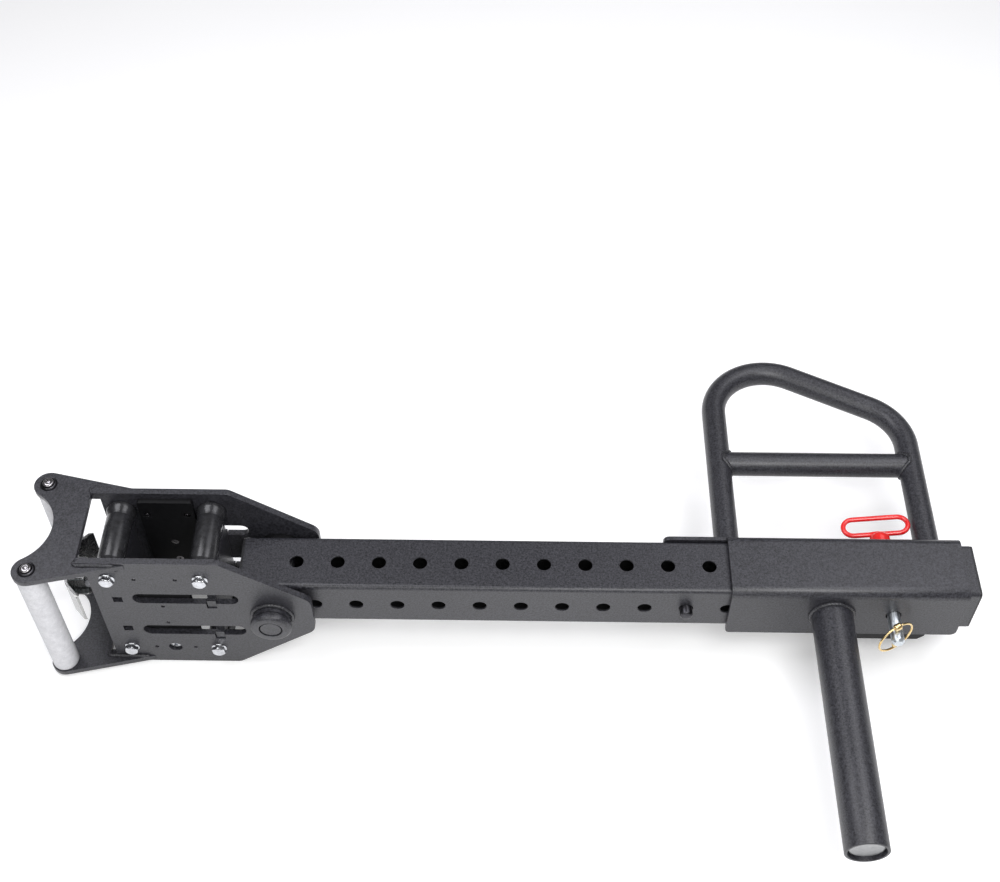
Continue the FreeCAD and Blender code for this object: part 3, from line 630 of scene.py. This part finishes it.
# ---- pivot collars ---------------------------------------------------------------------------
pivot = Vector(joints["arm_hinge"]["pos_m"])
collar_lo, collar_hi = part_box("pivot_collars")
cap_r = (collar_hi.x - collar_lo.x) / 2
bm = bmesh.new()
welds = bmesh.new()
for side in (-1, 1):
    plane = face_y if side < 0 else back_y
    base = axis_frame((pivot.x, plane, pivot.z), (0, side, 0))
    top = collar_hi.y - back_y
    lathe(bm, base, [
        (12.9 * MM, -7.0 * MM), (23.0 * MM, -7.0 * MM), (23.0 * MM, 0.0), (22.8 * MM, 4.0 * MM),
        (22.6 * MM, 7.6 * MM), (21.0 * MM, 8.2 * MM), (20.6 * MM, 10.0 * MM), (21.0 * MM, 11.4 * MM),
        (24.4 * MM, 11.8 * MM), (cap_r, 12.6 * MM), (cap_r, top - 3.4 * MM),
        (cap_r - 0.5 * MM, top - 2.4 * MM), (cap_r - 2.6 * MM, top - 0.4 * MM), (cap_r - 3.6 * MM, top),
        (14.9 * MM, top), (14.4 * MM, top - 0.4 * MM), (14.2 * MM, top - 4.5 * MM)], 96, closed=True)
    weld_bead(welds, circle_points(base @ Vector((0, 0, 0.8 * MM)), 24.6 * MM, (0, side, 0)), 2.9 * MM, True,
              ripple=3.4 * MM, seed=side)
piece("pivot_collar_pair", bm, "trolley", "powder", ["pivot_collars"])
piece("collar_weld_rings", welds, "trolley", "weld", ["collar_welds"], sharp=60)

# ---- ear plate welds -------------------------------------------------------------------------
bead_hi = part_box("ear_welds")[1]
plate_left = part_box("side_plate_near")[0].x
ear_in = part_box("ear_plate_top")[0].z
bm = bmesh.new()
for side in (-1, 1):
    y = face_y if side < 0 else back_y
    inward = -side
    for level in (1, -1):
        z_out = level * (ear_out + 0.5 * MM)
        z_in = level * (ear_in - 0.8 * MM)
        x1 = bead_hi.x - 1 * MM
        top = [Vector((plate_left - 0.3 * MM, y + inward * 6 * MM, z_out)),
               Vector((plate_left - 0.5 * MM, y + inward * 0.4 * MM, z_out)),
               Vector((plate_left + 1.8 * MM, y - inward * 0.9 * MM, z_out)),
               Vector((x1 - 12 * MM, y - inward * 0.9 * MM, z_out)),
               Vector((x1 - 4 * MM, y - inward * 0.3 * MM, z_out - level * 1.2 * MM))]
        weld_bead(bm, top, 2.7 * MM, ripple=2.6 * MM, seed=side * 3 + level)
        under = [Vector((plate_left - 0.4 * MM, y + inward * 7 * MM, z_in)),
                 Vector((plate_left - 0.4 * MM, y - inward * 0.2 * MM, z_in)),
                 Vector((plate_left + 2 * MM, y - inward * 0.8 * MM, z_in)),
                 Vector((x1, y - inward * 0.8 * MM, z_in))]
        weld_bead(bm, under, 2.9 * MM, seed=side * 5 + level)
piece("ear_plate_weld_beads", bm, "trolley", "weld", ["ear_welds"], sharp=60)

# ---- lock spring -----------------------------------------------------------------------------
s_lo, s_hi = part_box("lock_spring")
wire = 0.9 * MM
coil_r = 7.9 * MM
axis_mid = mid("lock_barrel")
bm = bmesh.new()
turns = 6.5
per_turn = 40
pts = []
for k in range(int(turns * per_turn) + 1):
    a = 2 * math.pi * k / per_turn
    f = k / (turns * per_turn)
    ease = min(1.0, max(0.0, (f - 0.1) / 0.8))
    pts.append(Vector((s_lo.x + wire + (s_hi.x - s_lo.x - 2 * wire) * ease,
                       axis_mid.y + coil_r * math.cos(a), axis_mid.z + coil_r * math.sin(a))))
sweep(bm, pts, wire, 10)
spring = piece("lock_spring_coil", bm, "trolley", "spring", ["lock_spring"])
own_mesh(spring)

# ---- D-handle --------------------------------------------------------------------------------
bow_lo, bow_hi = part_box("handle_bow")
tube_r = (bow_hi.z - bow_lo.z) / 2
bar = mid("handle_crossbar")
left_x, right_x = bow_lo.x + tube_r, bow_hi.x - tube_r
root_y = bow_lo.y
bend_r = 75 * MM
slope = math.radians(27)
X, Y = Vector((1, 0, 0)), Vector((0, 1, 0))
left_c = Vector((left_x + bend_r, bow_hi.y - bend_r - tube_r, 0))
across = Vector((math.sin(slope), math.cos(slope), 0))
right_c = Vector((right_x - bend_r, 0, 0))
right_c.y = (left_c.dot(across) - right_c.x * across.x) / across.y
rise = math.pi / 2 - slope
path = [Vector((left_x, root_y, 0)), Vector((left_x, (root_y + left_c.y) / 2, 0))]
path += arc_points(left_c, bend_r, math.pi, rise, X, Y, 40)
path += arc_points(right_c, bend_r, rise, 0, X, Y, 24)
path += [Vector((right_x, (root_y + right_c.y) / 2, 0)), Vector((right_x, root_y, 0))]
bm = bmesh.new()
sweep(bm, path, tube_r, 56)
piece("handle_bow_tube", bm, "arm", "powder", ["handle_bow"], sharp=50)
bm = bmesh.new()
bar_points = [Vector((x, bar.y, 0)) for x in (left_x + 2 * MM, bar.x, right_x - 2 * MM)]
sweep(bm, bar_points, tube_r, 56)
piece("handle_crossbar_tube", bm, "arm", "powder", ["handle_crossbar"], sharp=50)


def saddle(centre, side, lift):
    """Line where the crossbar meets a leg of the same radius, pushed out a little for the bead."""
    pts = []
    for k in range(120):
        a = 2 * math.pi * k / 120
        z = tube_r * math.sin(a)
        y = tube_r * math.cos(a)
        reach = math.sqrt(max(tube_r ** 2 - z ** 2, (0.28 * tube_r) ** 2))
        pts.append(Vector((centre.x + side * (reach + lift), centre.y + y * 1.02, z * 1.02)))
    return pts


bm = bmesh.new()
for x, side in ((left_x, 1), (right_x, -1)):
    weld_bead(bm, saddle(Vector((x, bar.y, 0)), side, 0.3 * MM), 2.6 * MM, True, seed=x)
    root_ring = circle_points(Vector((x, root_y + 0.5 * MM, 0)), tube_r + 0.8 * MM, (0, 1, 0))
    weld_bead(bm, root_ring, 2.7 * MM, True, seed=x * 2)
piece("handle_weld_beads", bm, "arm", "weld", ["handle_welds"], sharp=60)

# ---- weight post -----------------------------------------------------------------------------
post, post_dims = mid("weight_post"), size("weight_post")
post_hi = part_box("weight_post")[1]
post_r = post_dims.x / 2
length = post_dims.y
bore = size("post_cap").x / 2
base = axis_frame((post.x, post_hi.y, post.z), (0, -1, 0))
bm = bmesh.new()
lathe(bm, base, [
    (bore, 2 * MM), (post_r, 0.0), (post_r, length * 0.33), (post_r, length * 0.66),
    (post_r, length - 1.1 * MM), (post_r - 0.25 * MM, length - 0.5 * MM),
    (post_r - 0.9 * MM, length - 0.1 * MM), (post_r - 1.4 * MM, length), (bore + 0.7 * MM, length),
    (bore + 0.1 * MM, length - 0.4 * MM), (bore, length - 1.0 * MM), (bore, length - 16 * MM)],
    96, closed=True)
piece("weight_post_tube", bm, "arm", "powder", ["weight_post"])
bm = bmesh.new()
post_ring = circle_points(Vector((post.x, post_hi.y - 1.0 * MM, post.z)), post_r + 0.6 * MM, (0, -1, 0))
weld_bead(bm, post_ring, 2.9 * MM, True, ripple=3.6 * MM, seed=4.0)
piece("post_weld_ring", bm, "arm", "weld", ["post_weld"], sharp=60)
cap_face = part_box("post_cap")[0].y
base = axis_frame((post.x, cap_face, post.z), (0, -1, 0))
bm = bmesh.new()
lathe(bm, base, [
    (bore - 2.4 * MM, -10.2 * MM), (bore - 0.1 * MM, -9.6 * MM), (bore - 0.1 * MM, -3.4 * MM),
    (bore - 1.2 * MM, -3.0 * MM), (bore - 1.5 * MM, -0.8 * MM), (bore - 1.8 * MM, -0.2 * MM),
    (bore - 2.5 * MM, 0.0), (bore - 3.4 * MM, -0.15 * MM), (bore - 6.0 * MM, -0.75 * MM),
    (bore * 0.5, -1.25 * MM), (bore * 0.2, -1.45 * MM), (0.8 * MM, -1.5 * MM)], 80)
piece("post_end_cap", bm, "arm", "cap", ["post_cap"])

# ---- fixed pin -------------------------------------------------------------------------------
pin, pin_dims = mid("fixed_pin"), size("fixed_pin")
pin_r, half = pin_dims.x / 2, pin_dims.y / 2
bm = bmesh.new()
lathe(bm, axis_frame(pin, (0, -1, 0)), [
    (pin_r - 0.6 * MM, -half), (pin_r, -half + 0.5 * MM), (pin_r, 0.0), (pin_r, half - 2.1 * MM),
    (pin_r - 0.3 * MM, half - 1.5 * MM), (pin_r - 1.5 * MM, half - 0.3 * MM), (pin_r - 2.0 * MM, half),
    (1.5 * MM, half)], 56)
piece("fixed_pin_turned", bm, "arm", "black_pin", ["fixed_pin"])

# ---- plug weld mark on the bracket -----------------------------------------------------------
brk_lo, brk_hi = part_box("bracket")
mark = Vector((brk_hi.x - 26 * MM, brk_lo.y + 18.3 * MM, brk_hi.z))
bm = bmesh.new()
lathe(bm, axis_frame(mark, (0, 0, 1)), [
    (5.9 * MM, -0.25 * MM), (5.7 * MM, 0.02 * MM), (5.3 * MM, 0.16 * MM), (4.8 * MM, 0.10 * MM),
    (4.3 * MM, 0.02 * MM), (2.5 * MM, 0.10 * MM), (0.6 * MM, 0.14 * MM)], 56)
piece("plug_weld_mark", bm, "arm", "powder_arm", sharp=60)

# ---- pull handle: dipped collar and loop, run together as one skin ---------------------------
hitch = mid("hitch_shank")
pull_lo, pull_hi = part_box("pull_handle")
wire = 3.4 * MM
tilt = math.radians(8)
ux = Vector((math.cos(tilt), 0, math.sin(tilt)))
half_y = 12.6 * MM
half_x = 40.6 * MM - half_y
loop_c = Vector((hitch.x - 2.6 * MM, pull_hi.y - wire - half_y - 0.1 * MM, hitch.z))
pts = arc_points(loop_c + ux * half_x, half_y, -math.pi / 2, math.pi / 2, ux, Y, 28)
pts += arc_points(loop_c - ux * half_x, half_y, math.pi / 2, 3 * math.pi / 2, ux, Y, 28)
bm = bmesh.new()
pts = resample(pts, 1.2 * MM, closed=True)


def dip(i):
    """Radius of the loop at point i: the dip is a little thicker in places."""
    return wire * (0.985 + 0.03 * noise.noise(pts[i] * 90))


sweep(bm, pts, wire, 28, closed=True, radius_at=dip)
base = axis_frame((hitch.x, pull_lo.y, hitch.z), (0, 1, 0))
neck = loop_c.y - half_y - pull_lo.y
lathe(bm, base, [
    (9.0 * MM, 0.0), (12.6 * MM, 0.0), (13.3 * MM, 0.7 * MM), (13.4 * MM, 2.0 * MM),
    (13.4 * MM, 16 * MM), (13.3 * MM, 24 * MM), (12.6 * MM, 27.2 * MM), (10.8 * MM, 29.8 * MM),
    (8.4 * MM, 31.4 * MM), (5.6 * MM, 32.4 * MM), (2.0 * MM, neck + 0.5 * MM)], 56)
lump = axis_frame(loop_c - Y * half_y, ux)
hex_loft(bm, lump, [
    (t * 9.5 * MM, None, wire * (1.0 + 0.22 * math.cos(t * math.pi / 2) ** 2) + 0.0001 * MM)
    for t in (-1, -0.8, -0.6, -0.4, -0.2, 0, 0.2, 0.4, 0.6, 0.8, 1)], 24)
pull = piece("pull_handle_dipped", bm, "hitch_pin", "red", ["pull_handle"], sharp=80)
remesh = pull.modifiers.new("skin", "REMESH")
remesh.mode = "VOXEL"
remesh.voxel_size = 0.75 * MM
remesh.use_smooth_shade = True
smooth = pull.modifiers.new("flow", "SMOOTH")
smooth.factor = 0.6
smooth.iterations = 5

# ---- lynch pin and its ring ------------------------------------------------------------------
swing = joints["lynch_ring_swing"]
eye = Vector(swing["pos_m"])
hinge = -Vector(swing["axis"]).normalized()
down = Vector((hinge.z, 0, -hinge.x)).normalized()
lynch_len = (eye.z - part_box("lynch_pin")[0].z - 0.35 * MM) / -down.z
head_r, head_w = 4.5 * MM, 4.6 * MM
shank_r = 2.95 * MM
bm = bmesh.new()
base = axis_frame(eye, down)
lathe(bm, base, [
    (3.0 * MM, head_r - 1.4 * MM), (3.6 * MM, head_r - 0.6 * MM), (3.3 * MM, head_r + 0.3 * MM),
    (shank_r, head_r + 1.2 * MM), (shank_r, lynch_len - 12 * MM), (shank_r, lynch_len - 3.2 * MM),
    (2.6 * MM, lynch_len - 1.7 * MM), (2.0 * MM, lynch_len - 0.7 * MM),
    (1.1 * MM, lynch_len - 0.35 * MM)], 40)
lathe(bm, axis_frame(eye, hinge, up=-down), [
    (1.6 * MM, -head_w + 0.3 * MM), (2.4 * MM, -head_w), (3.4 * MM, -head_w + 0.3 * MM),
    (4.1 * MM, -head_w + 1.0 * MM), (4.4 * MM, -head_w + 2.2 * MM), (4.45 * MM, 0.0),
    (4.4 * MM, head_w - 2.2 * MM), (4.1 * MM, head_w - 1.0 * MM), (3.4 * MM, head_w - 0.3 * MM),
    (2.4 * MM, head_w), (1.6 * MM, head_w - 0.3 * MM)], 44, closed=True)
piece("lynch_pin_cast", bm, "hitch_pin", "brass", ["lynch_pin"], sharp=40)

ring_wire, ring_r, gap = 1.4 * MM, 24.0 * MM, 23.1 * MM
centre = eye + down * gap
open_a = math.acos(gap / ring_r)
reach = ring_r * math.sin(open_a)
pts = [eye + hinge * 1.8 * MM, eye + hinge * (reach - 1.2 * MM)]
pts += arc_points(centre, ring_r, open_a + 0.05, 2 * math.pi - open_a - 0.05, -down, hinge, 120)
pts += [eye - hinge * (reach - 1.2 * MM), eye - hinge * 1.8 * MM]
bm = bmesh.new()
sweep(bm, resample(pts, 0.6 * MM), ring_wire * 0.99, 20)
piece("lynch_ring_wire", bm, "lynch_ring", "brass", ["lynch_ring"], sharp=60)

# ---- floor, light and camera -----------------------------------------------------------------
FLOOR_HALF = 6.0
FLOOR_GAP = 0.0004      # under the part, so that the two never share a plane
FLOOR_GLOW = 0.22
WORLD_LIGHT = 0.2
STUDIO_MIDDLE = Vector((0.42, 0.0, 0.0))

floor_z = cad_bounds[0][2]
bm = bmesh.new()
bmesh.ops.create_grid(bm, x_segments=8, y_segments=8, size=FLOOR_HALF)
mesh = bpy.data.meshes.new("floor")
bm.to_mesh(mesh)
bm.free()
floor = bpy.data.objects.new("floor", mesh)
floor.location = (0.4, 0.0, floor_z - FLOOR_GAP)
scene.collection.objects.link(floor)
s = Shader("floor_paper")
mottle = s.noise(3, 3, 0.5)
s.color(s.mix(mottle, (0.90, 0.90, 0.90), (0.93, 0.93, 0.93)))
s.rough(s.range(s.noise(200, 2, 0.5), 0.3, 0.7, 0.85, 0.95))
s.bsdf.inputs["Emission Color"].default_value = (1, 1, 1, 1)
s.bsdf.inputs["Emission Strength"].default_value = FLOOR_GLOW
floor.data.materials.append(s.mat)

world = bpy.data.worlds.new("studio")
scene.world = world
world.use_nodes = True
backdrop = world.node_tree.nodes["Background"]
backdrop.inputs["Color"].default_value = (1, 1, 1, 1)
backdrop.inputs["Strength"].default_value = WORLD_LIGHT


def area_light(name, azimuth, elevation, distance, wide, high, watts, tint=(1, 1, 1)):
    """Softbox aimed at the middle of the arm; azimuth 0 is +X, 90 is +Y."""
    data = bpy.data.lights.new(name, "AREA")
    data.shape = "RECTANGLE"
    data.size, data.size_y = wide, high
    data.energy = watts
    data.color = tint
    ob = bpy.data.objects.new(name, data)
    az, el = math.radians(azimuth), math.radians(elevation)
    way = Vector((math.cos(az) * math.cos(el), math.sin(az) * math.cos(el), math.sin(el)))
    ob.location = STUDIO_MIDDLE + way * distance
    ob.rotation_euler = (STUDIO_MIDDLE - ob.location).to_track_quat("-Z", "Y").to_euler()
    scene.collection.objects.link(ob)


COOL = (0.95, 0.95, 1.0)
area_light("key_front", -112, 38, 2.0, 2.0, 1.0, 16)
area_light("key_near", -60, 60, 1.8, 0.9, 0.7, 19.5)
area_light("soft_right", 15, 60, 2.2, 1.2, 1.2, 15, COOL)
area_light("soft_left", 165, 60, 2.2, 1.2, 1.2, 20.5, COOL)
area_light("soft_back", 50, 50, 2.2, 1.2, 1.2, 5, COOL)

# The camera looks down at the arm from the front: focal length, angles and place are fitted values.
FOCAL_PX, IMAGE_W, SENSOR_W = 1450.687, 1000.0, 36.0
CAMERA_AT = Vector((0.4305, -1.0064, 1.5179))
cam_data = bpy.data.cameras.new("camera")
cam = bpy.data.objects.new("camera", cam_data)
scene.collection.objects.link(cam)
scene.camera = cam
cam_data.sensor_width = SENSOR_W
cam_data.sensor_fit = "HORIZONTAL"
cam_data.lens = FOCAL_PX / IMAGE_W * SENSOR_W
cam_data.clip_start = 0.05
pitch, yaw, roll = math.radians(50.947), math.radians(-1.074), math.radians(-0.200)
fwd = Vector((math.sin(yaw) * math.cos(pitch), math.cos(yaw) * math.cos(pitch), -math.sin(pitch)))
side = Vector((math.cos(yaw), -math.sin(yaw), 0))
top = side.cross(fwd)
right = side * math.cos(roll) + top * math.sin(roll)
up = top * math.cos(roll) - side * math.sin(roll)
m = Matrix((right, up, -fwd)).transposed().to_4x4()
m.translation = CAMERA_AT
cam.matrix_world = m

scene.view_settings.view_transform = "Standard"
scene.view_settings.look = "None"
